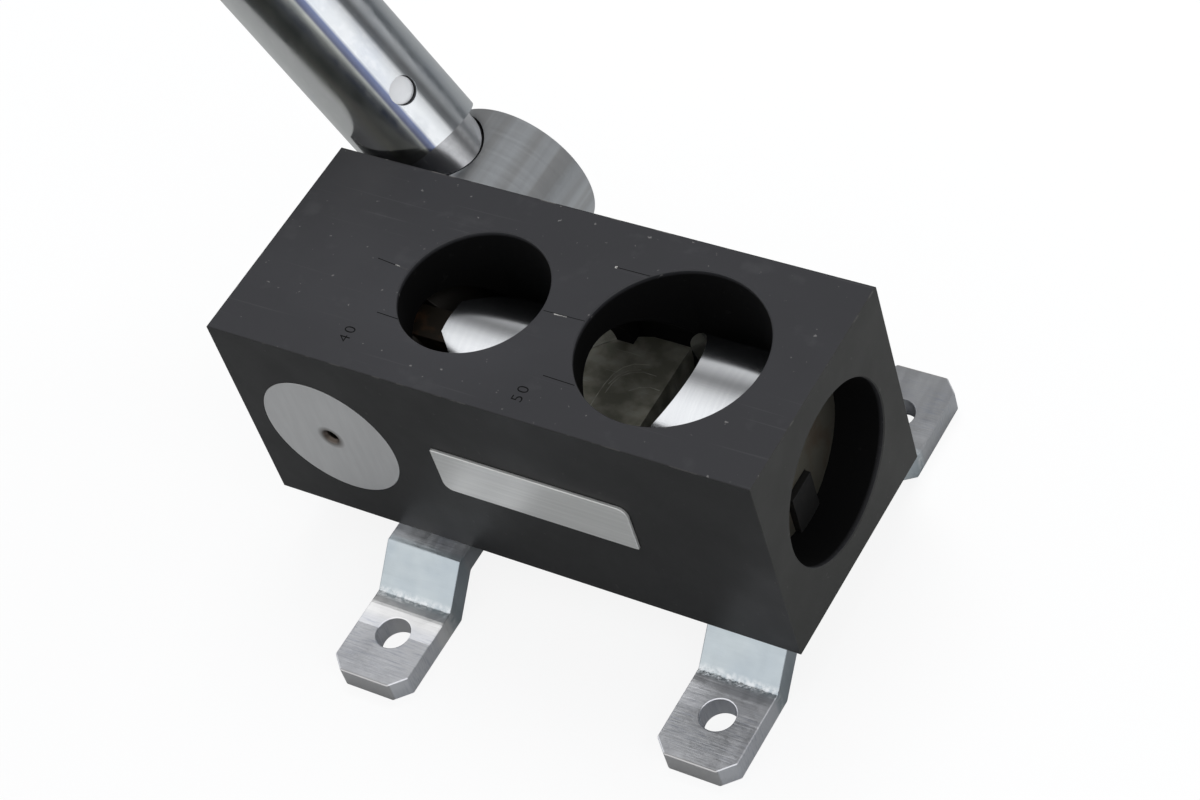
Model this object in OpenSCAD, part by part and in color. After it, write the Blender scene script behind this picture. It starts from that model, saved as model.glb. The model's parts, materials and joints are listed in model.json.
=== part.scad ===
// Bench pipe notcher: a bored steel block on two joggled straps, a sliding ram and a swinging lever.
// The modules work in the block's frame: X from its left end, Y from its front, Z from its underside.
// place() moves that frame so that the origin is on the bench, midway between the right strap's bolts.

/* [Block] */
// Length of the block
block_len = 194; // [180:1:220]
// Side of the block's square section
block_s = 80; // [78:1:90]
// Height of the ram's axis above the block's underside
ram_z = 40; // [39:0.5:41]

/* [Pipe holes] */
// Distance of the small pipe hole from the block's left end
hole_a_x = 75.7; // [74:0.1:78]
// Radius of the small pipe hole
hole_a_r = 24.4; // [22:0.1:25]
// Distance of the large pipe hole from the block's left end
hole_b_x = 146.2; // [144:0.1:150]
// Radius of the large pipe hole
hole_b_r = 30.1; // [28:0.1:31]
// Width of the small chamfer round each mouth
rim_chamfer = 0.4; // [0.2:0.1:1.5]

/* [Shaft] */
// Distance of the shaft's axis from the block's left end
shaft_x = 33; // [32:0.1:34]
// Height of the shaft's axis above the block's underside
shaft_z = 38.5; // [37:0.1:40]
// Radius of the shaft's two journals
shaft_r = 25; // [24.5:0.1:25]
// Radius of the crank pin's circle
crank_e = 17.5; // [17:0.1:17.6]
// Radius of the crank pin
crank_pin_r = 6.5; // [6:0.1:6.5]
// Angle of the crank pin left of straight up
crank_lean = 47.3; // [46:0.1:48]

/* [Ram] */
// Radius of the ram's thin part
ram_a_r = 24.4; // [23:0.1:24.9]
// Radius of the ram's thick part
ram_b_r = 29.2; // [28:0.1:30]
// Distance of the ram's blunt left end from the block's left end
ram_left_x = 62.6; // [59:0.1:66]
// Distance of the ram's right end from the block's left end
ram_right_x = 177; // [172:0.5:182]
// Distance of the step between the two parts from the block's left end
ram_step_x = 109; // [107:0.5:112]
// Distance of the pocket's centre from the block's left end
pocket_x = 120.5; // [119:0.5:122]
// Radius of the pocket that takes the pipe's end
pocket_r = 30; // [28:0.5:31]
// Height of the pocket's bed above the block's underside
pocket_bed_z = 30; // [29:0.5:33]
// Width of the keyway under the ram
keyway_w = 12.4; // [10:0.1:14]
// Height of the keyway's roof above the block's underside
keyway_top_z = 27.5; // [25:0.5:28]
// Width of the flat on the ram's blunt left end
nose_w = 12.9; // [10:0.1:16]

/* [Yoke] */
// Thickness of the yoke that the crank pin works in
yoke_w = 12; // [10:0.5:14]
// Height of the yoke's foot above the block's underside
yoke_bottom_z = 22; // [20:0.5:26]
// Height of the yoke's top above the block's underside
yoke_top_z = 57; // [56.5:0.5:59]
// Thickness of the yoke's outer jaw
yoke_jaw = 5; // [4:0.1:5.5]
// Depth to which the yoke is let into the ram
yoke_root = 14; // [12:0.5:18]
// Radius of the two dowels that hold the yoke
dowel_r = 3; // [2.5:0.1:4]

/* [Cutter] */
// Height of the cutter's flat floor above the block's underside
cutter_top_z = 40; // [38:0.5:42]
// Distance of the cutter's straight edge from the block's left end
cutter_edge_x = 127.4; // [124:0.1:130]

/* [Hub] */
// Radius of the hub
hub_r = 28.5; // [27:0.1:32]
// Length of the hub along the shaft
hub_w = 39; // [38.5:0.5:44]
// Radius of the shaft's seat in the hub
hub_bore_r = 15; // [12:0.5:16]
// Thickness of the washer between the hub and the block
thrust_t = 1; // [0.8:0.1:2]

/* [Lever] */
// Angle of the lever left of straight up
lever_lean = 29; // [20:1:40]
// Outer radius of the lever's tube
tube_r = 19.3; // [18.5:0.1:19.4]
// Wall of the lever's tube
tube_wall = 3; // [2.5:0.1:4]
// Distance of the tube's mitred end from the shaft's axis
tube_start = 33.5; // [33:0.5:40]
// Distance of the tube's far end from the shaft's axis
tube_end = 560; // [450:5:700]
// Angle of the mitre on the tube's near end
tube_mitre = 9; // [0:1:9]
// Distance of the cross pin from the shaft's axis
cross_pin_at = 57.5; // [52:0.5:64]
// Radius of the cross pin's hole
cross_hole_r = 4.8; // [4:0.1:6]
// Distance of the socket bar's far end from the shaft's axis
bar_end = 118; // [100:1:140]

/* [Straps] */
// Distance of the left strap's middle from the block's left end
left_strap_x = 60.2; // [55:0.1:62]
// Distance of the right strap's middle from the block's left end
right_strap_x = 174.2; // [170:0.1:176]
// Distance by which the left strap sits forward of the block's middle
left_strap_shift = 10; // [0:0.5:11]
// Width of a strap
strap_w = 28; // [25:1:32]
// Thickness of a strap
strap_t = 8; // [6:0.5:10]
// Length of a strap
strap_len = 161; // [158:1:170]
// Drop of the joggle from the block's underside to the foot's top
strap_drop = 12; // [10:0.5:16]
// Distance between the middles of a strap's two bolt holes
bolt_span = 124; // [122:1:128]
// Radius of a bolt hole
bolt_hole_r = 5.75; // [4.5:0.05:7]
// Distance between the two inner bends of a strap
bend_span = 74; // [70:1:76]
// Size of the chamfered corners
corner_cut = 5; // [3:0.5:7]

/* [Badge] */
// Length of the bare plate on the front
badge_len = 70.5; // [60:0.5:80]
// Height of the bare plate
badge_h = 19; // [15:0.5:22]
// Thickness of the bare plate
badge_t = 1.2; // [0.8:0.1:2]
// Distance of the plate's left edge from the block's left end
badge_x = 75.3; // [70:0.1:80]
// Height of the plate's lower edge above the block's underside
badge_z = 31.8; // [28:0.1:36]
// Radius of the plate's rounded corners
badge_corner = 3.5; // [1:0.5:5]

/* [Hidden] */

// Overrun of every cut past the face that it opens
over = 1;
// Radial clearance of what turns or slides in a bore
run_gap = 0.05;
// Clearance beside flat sliding faces
side_gap = 0.5;
// Clearance of the crank pin in the yoke, which takes up the unevenness of the crank
yoke_gap = 0.6;
// Facets of the round surfaces
round_fn = 96;
small_fn = 48;

mid_y = block_s / 2;
foot_z = strap_drop + strap_t;
ram_a_bore = ram_a_r + run_gap;
ram_b_bore = ram_b_r + run_gap;
bore_step_x = ram_step_x - side_gap;
// Share of the crank's circle that an even slide over the same swing covers
even_share = 0.7549;
slot_x = shaft_x - even_share * crank_e;
slot_half = crank_pin_r + yoke_gap;
yoke_left_x = slot_x - slot_half - yoke_jaw;
pin_x = shaft_x - crank_e * sin(crank_lean);
pin_z = shaft_z + crank_e * cos(crank_lean);
cheek_gap = yoke_w + 2 * side_gap;
slot_floor_z = pin_z - crank_pin_r - 2 * side_gap;

plug_t = 5.5;
plug_hex_r = 8;
plug_hex_depth = 3;
plug_screw_r = 1.5;
plug_screw_len = 9;

hub_y = block_s + thrust_t + 0.1 * thrust_t;
hub_mid_y = hub_y + hub_w / 2;
hub_key_w = 6;
hub_key_h = 5;
hub_key_len = 28;
hub_washer_r = 19;
hub_washer_t = 3;
hub_screw_r = 4;
hub_screw_len = 24;
hub_head_r = 7.5;
hub_head_h = 5;
hub_head_hex = 4.5;
hub_head_hex_depth = 3;
thrust_r = 27;
centre_hole_r = 2;
centre_mouth_r = 3.2;
centre_depth = 4;

tube_bore_r = tube_r - tube_wall;
bar_r = tube_bore_r - run_gap;
bar_seat_gap = 0.6;
bar_seat = hub_bore_r + 1.5 * thrust_t;
bar_screw_r = 4;
bar_screw_len = 8;
cap_t = 4;
cap_plug = 18;
cap_edge = 1.5;
pin_angle = -17.7;
cross_pin_gap = 0.1;
cross_pin_sink = 2.6;

key_left_x = 153;
key_right_x = 179;
key_bottom_z = 5;
key_gap = 0.2;
keyway_left_x = 125;
key_screw_r = 2.5;
key_head_r = 4.5;
key_head_h = 3;
key_screw_len = 12;
key_screw_inset = 6;

cutter_gap = 0.1;
cutter_screw_r = 2.5;
cutter_screw_len = 12;
cutter_screw_y = 10;
cutter_screw_back = 18;

strap_screw_r = 4;
strap_head_r = 6.5;
strap_head_h = 5;
strap_head_hex = 4;
strap_head_hex_depth = 3;
strap_screw_len = 16;
strap_screw_y = 24;

module place() {
    translate([-right_strap_x, -mid_y, foot_z]) children();
}

// A cylinder along X, from the left
module rod_x(r, len, fn = round_fn) {
    rotate([0, 90, 0]) cylinder(r = r, h = len, $fn = fn);
}

// A cylinder along Y, from the front
module rod_y(r, len, fn = round_fn) {
    rotate([-90, 0, 0]) cylinder(r = r, h = len, $fn = fn);
}

// The frame of the lever, with Z along its tube
module lever_frame() {
    translate([shaft_x, hub_mid_y, shaft_z]) rotate([0, -lever_lean, 0]) children();
}

// A round hole in the block's top with its chamfered mouth
module pipe_hole(x, r) {
    translate([x, mid_y, ram_z]) cylinder(r = r, h = block_s, $fn = round_fn);
    translate([x, mid_y, block_s - rim_chamfer])
        cylinder(r1 = r, r2 = r + 2 * rim_chamfer, h = 2 * rim_chamfer, $fn = round_fn);
}

// The stepped bore that the ram slides in
module ram_bore() {
    translate([-over, mid_y, ram_z]) rod_x(ram_a_bore, block_len);
    translate([bore_step_x, mid_y, ram_z]) rod_x(ram_b_bore, block_len);
    translate([block_len - rim_chamfer, mid_y, ram_z]) rotate([0, 90, 0])
        cylinder(r1 = ram_b_bore, r2 = ram_b_bore + 2 * rim_chamfer, h = 2 * rim_chamfer, $fn = round_fn);
}

// Places of the two screws under each strap
module strap_screw_places(x, y) {
    for (side = [-1, 1]) translate([x, y + side * strap_screw_y, 0]) children();
}

// Places of the two screws under the key
module key_screw_places() {
    for (x = [key_left_x + key_screw_inset, key_right_x - key_screw_inset])
        translate([x, mid_y, 0]) children();
}

module body_block() {
    color([0.13, 0.13, 0.14]) place() difference() {
        cube([block_len, block_s, block_s]);
        ram_bore();
        pipe_hole(hole_a_x, hole_a_r);
        pipe_hole(hole_b_x, hole_b_r);
        translate([shaft_x, -over, shaft_z]) rod_y(shaft_r + run_gap, block_s + 2 * over);
        translate([key_left_x, mid_y - keyway_w / 2 + key_gap, key_bottom_z])
            cube([key_right_x - key_left_x, keyway_w - 2 * key_gap, ram_z - key_bottom_z]);
        key_screw_places() translate([0, 0, -over]) {
            cylinder(r = key_screw_r, h = block_s / 2, $fn = small_fn);
            cylinder(r = key_head_r, h = key_head_h + over, $fn = small_fn);
        }
        strap_screw_places(left_strap_x, mid_y - left_strap_shift)
            translate([0, 0, -over]) cylinder(r = strap_screw_r, h = strap_screw_len - strap_t + over, $fn = small_fn);
        strap_screw_places(right_strap_x, mid_y)
            translate([0, 0, -over]) cylinder(r = strap_screw_r, h = strap_screw_len - strap_t + over, $fn = small_fn);
        translate([plug_t / 2, mid_y, -over])
            cylinder(r = plug_screw_r, h = ram_z - ram_a_bore + 2 * over, $fn = small_fn);
    }
}

// Half of a strap's side view, from its middle out to its foot
function bend_points(side) = let (
        out = strap_len / 2,
        bend = bend_span / 2,
        mitre = strap_t * tan(22.5))
    [[side * bend, 0], [side * (bend + strap_drop), -strap_drop], [side * out, -strap_drop],
     [side * out, -foot_z], [side * (bend + strap_drop - mitre), -foot_z], [side * (bend - mitre), -strap_t]];

function reversed(points) = [for (i = [len(points) - 1 : -1 : 0]) points[i]];

module strap_blank() {
    translate([-strap_w / 2, 0, 0]) rotate([90, 0, 90])
        linear_extrude(height = strap_w) polygon(concat(bend_points(1), reversed(bend_points(-1))));
}

module strap(x, y) {
    place() translate([x, y, 0]) difference() {
        strap_blank();
        for (side = [-1, 1]) {
            translate([0, side * bolt_span / 2, -foot_z - over])
                cylinder(r = bolt_hole_r, h = strap_t + 2 * over, $fn = round_fn);
            translate([0, side * strap_screw_y, -strap_t - over])
                cylinder(r = strap_screw_r, h = strap_t + 2 * over, $fn = small_fn);
            for (edge = [-1, 1]) translate([edge * strap_w / 2, side * strap_len / 2, -foot_z / 2])
                rotate([0, 0, 45]) cube([corner_cut * sqrt(2), corner_cut * sqrt(2), 2 * foot_z], center = true);
        }
    }
}

module left_strap() {
    color([0.72, 0.75, 0.78]) strap(left_strap_x, mid_y - left_strap_shift);
}

module right_strap() {
    color([0.72, 0.75, 0.78]) strap(right_strap_x, mid_y);
}

// A cap screw from below, its head under the strap
module strap_screw() {
    translate([0, 0, -strap_t]) cylinder(r = strap_screw_r, h = strap_screw_len, $fn = small_fn);
    difference() {
        translate([0, 0, -strap_t - strap_head_h]) cylinder(r = strap_head_r, h = strap_head_h, $fn = small_fn);
        translate([0, 0, -strap_t - strap_head_h - over])
            cylinder(r = strap_head_hex, h = strap_head_hex_depth + over, $fn = 6);
    }
}

module strap_screws() {
    color([0.35, 0.35, 0.36]) place() {
        strap_screw_places(left_strap_x, mid_y - left_strap_shift) strap_screw();
        strap_screw_places(right_strap_x, mid_y) strap_screw();
    }
}

// The plug that closes the ram's bore at the left end
module end_plug() {
    color([0.2, 0.2, 0.21]) place() difference() {
        translate([0, mid_y, ram_z]) rod_x(ram_a_bore, plug_t);
        translate([-over, mid_y, ram_z]) rod_x(plug_hex_r, plug_hex_depth + over, 6);
        translate([plug_t / 2, mid_y, -over]) cylinder(r = plug_screw_r, h = plug_screw_top + over, $fn = small_fn);
    }
}

plug_screw_top = ram_z - ram_a_bore + plug_screw_r;

module plug_screw() {
    color([0.3, 0.3, 0.31]) place() translate([plug_t / 2, mid_y, plug_screw_top - plug_screw_len])
        cylinder(r = plug_screw_r, h = plug_screw_len, $fn = small_fn);
}

// The key that keeps the ram from turning
module ram_key() {
    color([0.45, 0.45, 0.46]) place() difference() {
        translate([key_left_x, mid_y - keyway_w / 2 + key_gap, key_bottom_z])
            cube([key_right_x - key_left_x, keyway_w - 2 * key_gap, keyway_top_z - key_bottom_z - side_gap]);
        key_screw_places() translate([0, 0, -over])
            cylinder(r = key_screw_r, h = key_screw_len + over, $fn = small_fn);
    }
}

module key_screws() {
    color([0.3, 0.3, 0.31]) place() key_screw_places() {
        cylinder(r = key_head_r, h = key_head_h, $fn = small_fn);
        cylinder(r = key_screw_r, h = key_screw_len, $fn = small_fn);
    }
}

// The bare plate stuck on the front
module badge_plate() {
    color([0.78, 0.78, 0.79]) place() translate([badge_x, 0, badge_z]) rotate([90, 0, 0])
        linear_extrude(height = badge_t) difference() {
            square([badge_len, badge_h]);
            badge_corner_cut(0, 0, 0);
            badge_corner_cut(badge_len, badge_h, 180);
        }
}

module badge_corner_cut(x, y, turn) {
    translate([x, y]) rotate(turn) difference() {
        translate([-over, -over]) square(badge_corner + over);
        translate([badge_corner, badge_corner]) circle(r = badge_corner, $fn = small_fn);
    }
}

// The blunt nose of the ram, seen from above
module nose_shape() {
    half = nose_w / 2;
    flank = ram_a_r - half;
    polygon([[ram_left_x, -half], [ram_left_x + flank, -half - flank], [ram_right_x + over, -half - flank],
             [ram_right_x + over, half + flank], [ram_left_x + flank, half + flank], [ram_left_x, half]]);
}

module yoke_body(gap) {
    translate([ram_left_x - over, mid_y - yoke_w / 2 - gap, yoke_bottom_z - gap])
        cube([yoke_root + over + gap, yoke_w + 2 * gap, yoke_top_z - yoke_bottom_z + 2 * gap]);
}

// Heights of the two dowels across the yoke's root
module dowel_places() {
    for (share = [0.3, 0.7])
        translate([ram_left_x + yoke_root / 2, 0, yoke_bottom_z + share * (yoke_top_z - yoke_bottom_z)]) children();
}

module dowels() {
    dowel_places() translate([0, mid_y - yoke_w, 0]) rod_y(dowel_r, 2 * yoke_w, small_fn);
}

// Places of the two screws that hold the cutter down on the pocket's bed
module cutter_screw_places() {
    for (side = [-1, 1])
        translate([cutter_edge_x - cutter_screw_back, mid_y + side * cutter_screw_y, pocket_bed_z]) children();
}

module ram() {
    color([0.82, 0.82, 0.83]) place() difference() {
        intersection() {
            union() {
                translate([ram_left_x, mid_y, ram_z]) rod_x(ram_a_r, ram_right_x - ram_left_x);
                translate([ram_step_x, mid_y, ram_z]) rod_x(ram_b_r, ram_right_x - ram_step_x);
            }
            union() {
                translate([0, mid_y, 0]) linear_extrude(height = block_s) nose_shape();
                translate([ram_step_x, 0, 0]) cube([ram_right_x - ram_step_x, block_s, block_s]);
            }
        }
        translate([pocket_x, mid_y, pocket_bed_z]) cylinder(r = pocket_r, h = block_s, $fn = round_fn);
        translate([ram_step_x - over, 0, pocket_bed_z]) cube([pocket_x - ram_step_x + over, block_s, block_s]);
        translate([keyway_left_x, mid_y - keyway_w / 2, 0])
            cube([ram_right_x - keyway_left_x + over, keyway_w, keyway_top_z]);
        yoke_body(0);
        dowels();
        cutter_screw_places() translate([0, 0, -cutter_screw_len / 2])
            cylinder(r = cutter_screw_r, h = cutter_screw_len, $fn = small_fn);
    }
}

// The yoke that the crank pin pushes to and fro
module yoke() {
    color([0.3, 0.2, 0.14]) place() difference() {
        translate([yoke_left_x, mid_y - yoke_w / 2, yoke_bottom_z])
            cube([ram_left_x + yoke_root - yoke_left_x, yoke_w, yoke_top_z - yoke_bottom_z]);
        translate([slot_x - slot_half, mid_y - yoke_w, slot_floor_z])
            cube([2 * slot_half, 2 * yoke_w, block_s]);
        dowels();
    }
}

module yoke_dowels() {
    color([0.6, 0.6, 0.61]) place() dowels();
}

// The half-moon cutter whose floor the pipe's end rests on
module cutter() {
    color([0.28, 0.27, 0.2]) place() difference() {
        intersection() {
            translate([pocket_x, mid_y, pocket_bed_z])
                cylinder(r = pocket_r - cutter_gap, h = cutter_top_z - pocket_bed_z, $fn = round_fn);
            union() {
                translate([ram_left_x, mid_y, ram_z]) rod_x(ram_a_r, ram_right_x - ram_left_x);
                translate([ram_step_x, mid_y, ram_z]) rod_x(ram_b_r, ram_right_x - ram_step_x);
            }
            cube([cutter_edge_x, block_s, block_s]);
        }
        cutter_screw_places() translate([0, 0, -over])
            cylinder(r = cutter_screw_r, h = block_s, $fn = small_fn);
    }
}

module cutter_screws() {
    color([0.25, 0.24, 0.2]) place() cutter_screw_places() difference() {
        translate([0, 0, -cutter_screw_len / 2])
            cylinder(r = cutter_screw_r, h = cutter_screw_len / 2 + cutter_top_z - pocket_bed_z - over, $fn = small_fn);
        translate([0, 0, cutter_top_z - pocket_bed_z - 3 * over])
            cylinder(r = cutter_screw_r / 2, h = 3 * over, $fn = 6);
    }
}

module crank_pin_solid() {
    translate([pin_x, mid_y - cheek_gap, pin_z]) rod_y(crank_pin_r, 2 * cheek_gap, small_fn);
}

// The shaft's front journal, flush with the block's front
module crank_front() {
    color([0.75, 0.74, 0.72]) place() difference() {
        translate([shaft_x, 0, shaft_z]) rod_y(shaft_r, mid_y - cheek_gap / 2);
        crank_pin_solid();
        translate([shaft_x, -over, shaft_z]) rod_y(centre_hole_r, centre_depth + over, small_fn);
        translate([shaft_x, 0, shaft_z]) rotate([-90, 0, 0])
            cylinder(r1 = centre_mouth_r, r2 = centre_hole_r, h = centre_mouth_r - centre_hole_r, $fn = small_fn);
    }
}

module hub_key_solid(gap) {
    translate([shaft_x - hub_key_w / 2, hub_mid_y - hub_key_len / 2, shaft_z - hub_bore_r - hub_key_h / 2 - gap])
        cube([hub_key_w, hub_key_len, hub_key_h + gap]);
}

// The shaft's rear journal with the seat that carries the hub
module crank_rear() {
    color([0.6, 0.6, 0.6]) place() difference() {
        union() {
            translate([shaft_x, mid_y + cheek_gap / 2, shaft_z]) rod_y(shaft_r, block_s - mid_y - cheek_gap / 2);
            translate([shaft_x, block_s - over, shaft_z]) rod_y(hub_bore_r, over + hub_y - block_s + hub_w);
        }
        crank_pin_solid();
        hub_key_solid(0);
        translate([shaft_x, hub_y + hub_w - hub_screw_len + hub_washer_t, shaft_z])
            rod_y(hub_screw_r, hub_screw_len, small_fn);
    }
}

module crank_pin() {
    color([0.55, 0.54, 0.52]) place() crank_pin_solid();
}

module thrust_washer() {
    color([0.62, 0.5, 0.3]) place() translate([shaft_x, hub_y - thrust_t, shaft_z]) difference() {
        rod_y(thrust_r, thrust_t);
        translate([0, -over, 0]) rod_y(hub_bore_r, thrust_t + 2 * over);
    }
}

// The turned hub that joins the lever to the shaft
module hub() {
    color([0.74, 0.75, 0.76]) place() difference() {
        translate([shaft_x, hub_y, shaft_z]) rod_y(hub_r, hub_w);
        translate([shaft_x, hub_y - over, shaft_z]) rod_y(hub_bore_r, hub_w + 2 * over);
        hub_key_solid(0);
        lever_frame() translate([0, 0, bar_seat]) cylinder(r = bar_r + bar_seat_gap, h = hub_r, $fn = round_fn);
        lever_frame() translate([0, 0, -hub_r - over])
            cylinder(r = bar_screw_r, h = hub_r - hub_bore_r + over + bar_screw_r, $fn = small_fn);
    }
}

module hub_key() {
    color([0.4, 0.4, 0.41]) place() hub_key_solid(0);
}

module hub_washer() {
    color([0.7, 0.72, 0.74]) place() translate([shaft_x, hub_y + hub_w, shaft_z]) difference() {
        rod_y(hub_washer_r, hub_washer_t);
        translate([0, -over, 0]) rod_y(hub_screw_r, hub_washer_t + 2 * over, small_fn);
    }
}

module hub_screw() {
    color([0.35, 0.35, 0.36]) place() translate([shaft_x, hub_y + hub_w + hub_washer_t, shaft_z]) {
        translate([0, -hub_screw_len, 0]) rod_y(hub_screw_r, hub_screw_len, small_fn);
        difference() {
            rod_y(hub_head_r, hub_head_h, small_fn);
            translate([0, hub_head_h - hub_head_hex_depth, 0]) rod_y(hub_head_hex, hub_head_hex_depth + over, 6);
        }
    }
}

module cross_rod(r, half) {
    translate([0, 0, cross_pin_at]) rotate([0, 0, pin_angle]) translate([-half, 0, 0]) rod_x(r, 2 * half, small_fn);
}

// The bar that stands in the hub and carries the tube
module socket_bar() {
    color([0.7, 0.71, 0.72]) place() lever_frame() difference() {
        translate([0, 0, bar_seat]) cylinder(r = bar_r, h = bar_end - bar_seat, $fn = round_fn);
        cross_rod(cross_hole_r - cross_pin_gap, tube_r);
    }
}

// The set screw that locks the hub on the shaft's seat
module bar_screw() {
    color([0.3, 0.3, 0.31]) place() lever_frame() translate([0, 0, -hub_bore_r - bar_screw_len]) difference() {
        cylinder(r = bar_screw_r, h = bar_screw_len, $fn = small_fn);
        translate([0, 0, -over]) cylinder(r = bar_screw_r / 2, h = bar_screw_len / 2, $fn = 6);
    }
}

module lever_tube() {
    color([0.7, 0.73, 0.76]) place() lever_frame() difference() {
        translate([0, 0, tube_start - tube_r]) cylinder(r = tube_r, h = tube_end - tube_start + tube_r, $fn = round_fn);
        translate([0, 0, tube_start - 2 * tube_r])
            cylinder(r = tube_bore_r, h = tube_end - tube_start + 3 * tube_r, $fn = round_fn);
        translate([0, 0, tube_start]) rotate([0, 0, -45]) rotate([0, -tube_mitre, 0])
            translate([-2 * tube_r, -2 * tube_r, -3 * tube_r]) cube([4 * tube_r, 4 * tube_r, 3 * tube_r]);
        cross_rod(cross_hole_r, 2 * tube_r);
    }
}

module cross_pin() {
    color([0.85, 0.86, 0.87]) place() lever_frame() cross_rod(cross_hole_r - cross_pin_gap, tube_r - cross_pin_sink);
}

// The plug in the tube's far end
module tube_cap() {
    color([0.1, 0.1, 0.1]) place() lever_frame() {
        translate([0, 0, tube_end - cap_plug]) cylinder(r = tube_bore_r, h = cap_plug, $fn = round_fn);
        translate([0, 0, tube_end]) cylinder(r = tube_r, h = cap_t - cap_edge, $fn = round_fn);
        translate([0, 0, tube_end + cap_t - cap_edge])
            cylinder(r1 = tube_r, r2 = tube_r - cap_edge, h = cap_edge, $fn = round_fn);
    }
}

body_block();
left_strap();
right_strap();
strap_screws();
end_plug();
plug_screw();
ram_key();
key_screws();
badge_plate();
ram();
yoke();
yoke_dowels();
cutter();
cutter_screws();
crank_front();
crank_rear();
crank_pin();
thrust_washer();
hub();
hub_key();
hub_washer();
hub_screw();
socket_bar();
bar_screw();
lever_tube();
cross_pin();
tube_cap();
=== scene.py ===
# Looks of a bench pipe notcher: black bored block, plated straps and lever, ground ram and shaft.
import json
import math
import bmesh
import bpy
from mathutils import Matrix, Vector

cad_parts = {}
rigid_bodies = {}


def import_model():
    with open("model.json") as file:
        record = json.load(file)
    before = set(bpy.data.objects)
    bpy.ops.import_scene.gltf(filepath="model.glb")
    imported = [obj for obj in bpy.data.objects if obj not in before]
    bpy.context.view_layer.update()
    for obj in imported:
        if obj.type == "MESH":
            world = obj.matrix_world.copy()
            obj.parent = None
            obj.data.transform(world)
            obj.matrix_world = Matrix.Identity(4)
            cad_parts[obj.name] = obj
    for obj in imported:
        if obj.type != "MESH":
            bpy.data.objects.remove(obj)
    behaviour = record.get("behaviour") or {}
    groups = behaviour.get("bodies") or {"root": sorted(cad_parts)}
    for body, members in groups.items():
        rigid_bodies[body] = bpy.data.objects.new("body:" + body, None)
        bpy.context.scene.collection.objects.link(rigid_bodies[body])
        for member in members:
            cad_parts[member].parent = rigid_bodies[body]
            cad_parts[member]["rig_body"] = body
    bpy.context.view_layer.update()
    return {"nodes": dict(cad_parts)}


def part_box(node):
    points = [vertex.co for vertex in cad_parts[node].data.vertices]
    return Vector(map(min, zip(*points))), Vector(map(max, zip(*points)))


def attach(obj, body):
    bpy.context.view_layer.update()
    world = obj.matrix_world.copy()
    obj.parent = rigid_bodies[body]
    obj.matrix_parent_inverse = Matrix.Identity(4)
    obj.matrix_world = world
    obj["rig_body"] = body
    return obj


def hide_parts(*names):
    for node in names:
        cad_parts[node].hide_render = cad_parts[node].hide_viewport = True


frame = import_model()

# Camera and light
# A long lens from the front right, high up, as in the photograph, in a white room lit by two soft boxes.
# Reflections see bright windows in front, a dimmer room behind, and two dark cards that shade the metal.
camera_right = Vector((0.84556314, 0.48337935, -0.22664373))
camera_up = Vector((-0.24895322, 0.73254671, 0.63355948))
camera_back = Vector((0.47227669, -0.47929085, 0.73975334))
camera_place = Vector((0.3891, -0.4590, 0.7699))
lens = bpy.data.cameras.new("notcher_camera")
lens.lens = 93.21
lens.sensor_width = 36
lens.clip_start = 0.01
camera = bpy.data.objects.new("notcher_camera", lens)
bpy.context.scene.collection.objects.link(camera)
turn = Matrix((camera_right, camera_up, camera_back)).transposed()
camera.matrix_world = Matrix.Translation(camera_place) @ turn.to_4x4()
bpy.context.scene.camera = camera
bpy.context.scene.view_settings.view_transform = "Standard"


def soft_box(name, place, target, size, watts):
    lamp = bpy.data.lights.new(name, "AREA")
    lamp.size = size
    lamp.energy = watts
    box = bpy.data.objects.new(name, lamp)
    box.location = place
    box.rotation_euler = (Vector(target) - Vector(place)).to_track_quat("-Z", "Y").to_euler()
    box.visible_glossy = False
    bpy.context.scene.collection.objects.link(box)


middle = (-0.08, 0.0, 0.05)
soft_box("box_over", (-0.35, 0.75, 1.5), middle, 1.0, 16)
soft_box("box_right", (1.3, -0.5, 1.0), middle, 0.8, 5)

world = bpy.data.worlds.new("white_room")
bpy.context.scene.world = world
world.use_nodes = True
room = world.node_tree
room.nodes.clear()
seen = room.nodes.new("ShaderNodeLightPath")
is_seen = room.nodes.new("ShaderNodeMath")
is_seen.operation = "MAXIMUM"
is_through = room.nodes.new("ShaderNodeMath")
is_through.operation = "MAXIMUM"
plain_light = room.nodes.new("ShaderNodeBackground")
plain_light.inputs["Color"].default_value = (0.93, 0.96, 1.0, 1)
plain_light.inputs["Strength"].default_value = 0.62
white_back = room.nodes.new("ShaderNodeBackground")
white_back.inputs["Color"].default_value = (1, 1, 1, 1)
towards = room.nodes.new("ShaderNodeTexCoord")
depth = room.nodes.new("ShaderNodeSeparateXYZ")
share = room.nodes.new("ShaderNodeMapRange")
share.inputs["From Min"].default_value = -1.0
windows = room.nodes.new("ShaderNodeValToRGB")
stops = windows.color_ramp.elements
for stop, (place, level) in zip([stops[0], stops[1], stops.new(0.60), stops.new(0.72), stops.new(0.76)],
                                ((0.45, 1.0), (0.86, 0.05), (0.60, 0.72), (0.70, 0.27), (0.76, 0.18))):
    stop.position = place
    stop.color = (level, level, level, 1)
level_seen = room.nodes.new("ShaderNodeMath")
level_seen.operation = "MAXIMUM"
room.links.new(towards.outputs["Generated"], depth.inputs[0])
room.links.new(depth.outputs["Y"], share.inputs["Value"])
room.links.new(share.outputs[0], windows.inputs["Fac"])
room.links.new(windows.outputs["Color"], level_seen.inputs[0])
room.links.new(seen.outputs["Is Camera Ray"], level_seen.inputs[1])
room.links.new(level_seen.outputs[0], white_back.inputs["Strength"])
room_mix = room.nodes.new("ShaderNodeMixShader")
room_out = room.nodes.new("ShaderNodeOutputWorld")
room.links.new(seen.outputs["Is Camera Ray"], is_seen.inputs[0])
room.links.new(seen.outputs["Is Glossy Ray"], is_seen.inputs[1])
room.links.new(is_seen.outputs[0], is_through.inputs[0])
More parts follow.
